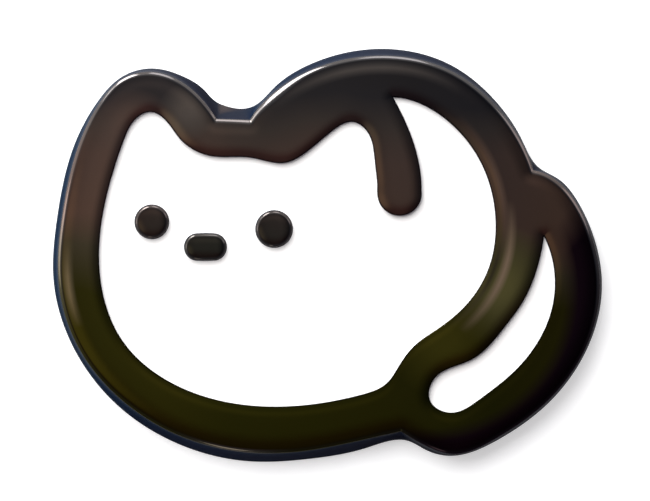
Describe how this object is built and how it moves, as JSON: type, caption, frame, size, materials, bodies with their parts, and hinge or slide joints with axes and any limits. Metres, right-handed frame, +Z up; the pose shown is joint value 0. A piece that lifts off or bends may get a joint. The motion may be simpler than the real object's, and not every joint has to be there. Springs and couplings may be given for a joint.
{
  "type": "enamel pin",
  "caption": "Flat cat-shaped lapel pin: raised dark metal outline around white enamel fills, with posts and sprung butterfly clutches behind.",
  "frame": {"origin": "on the flat back face, midway between the two posts", "axes": "as worn: +Z up, +X to the right seen from the front, the face looks along -Y and the posts point along +Y"},
  "size_m": [0.03, 0.0098, 0.0226],
  "materials": {
    "plated_metal": "polished",
    "enamel": "gloss",
    "post_metal": "satin",
    "clutch_metal": "gloss",
    "spring_metal": "satin"
  },
  "bodies": {
    "pin": {"base_plate": "plated_metal", "body_enamel": "enamel", "tail_enamel": "enamel", "post_left": "post_metal", "post_right": "post_metal"},
    "clutch_left": {"clutch_disc_left": "clutch_metal", "clutch_cap_left": "clutch_metal", "clutch_spring_left": "spring_metal"},
    "far_wing_left": {"clutch_far_wing_left": "clutch_metal"},
    "near_wing_left": {"clutch_near_wing_left": "clutch_metal"},
    "clutch_right": {"clutch_disc_right": "clutch_metal", "clutch_cap_right": "clutch_metal", "clutch_spring_right": "spring_metal"},
    "far_wing_right": {"clutch_far_wing_right": "clutch_metal"},
    "near_wing_right": {"clutch_near_wing_right": "clutch_metal"}
  },
  "joints": [
    {"name": "left_clutch_slide", "type": "slide", "parent": "pin", "child": "clutch_left", "axis": [0, 1, 0], "range_m": [-0.0021, 0.012]},
    {"name": "left_far_wing_squeeze", "type": "slide", "parent": "clutch_left", "child": "far_wing_left", "axis": [-0.9903, 0, -0.1392], "range_m": [0, 0.0007], "stiffness_N_per_m": 8000, "springref_m": -0.0003, "deforming": ["clutch_spring_left"]},
    {"name": "left_near_wing_squeeze", "type": "slide", "parent": "clutch_left", "child": "near_wing_left", "axis": [0.9903, 0, 0.1392], "range_m": [0, 0.0007], "stiffness_N_per_m": 400, "springref_m": -0.0003, "deforming": ["clutch_spring_left"]},
    {"name": "right_clutch_slide", "type": "slide", "parent": "pin", "child": "clutch_right", "axis": [0, 1, 0], "range_m": [-0.0021, 0.012]},
    {"name": "right_far_wing_squeeze", "type": "slide", "parent": "clutch_right", "child": "far_wing_right", "axis": [-0.9703, 0, 0.2419], "range_m": [0, 0.0007], "stiffness_N_per_m": 8000, "springref_m": -0.0003, "deforming": ["clutch_spring_right"]},
    {"name": "right_near_wing_squeeze", "type": "slide", "parent": "clutch_right", "child": "near_wing_right", "axis": [0.9703, 0, -0.2419], "range_m": [0, 0.0007], "stiffness_N_per_m": 400, "springref_m": -0.0003, "deforming": ["clutch_spring_right"]}
  ],
  "couplings": [
    {"joint": "left_near_wing_squeeze", "follows": "left_far_wing_squeeze", "ratio": 1},
    {"joint": "right_near_wing_squeeze", "follows": "right_far_wing_squeeze", "ratio": 1}
  ]
}
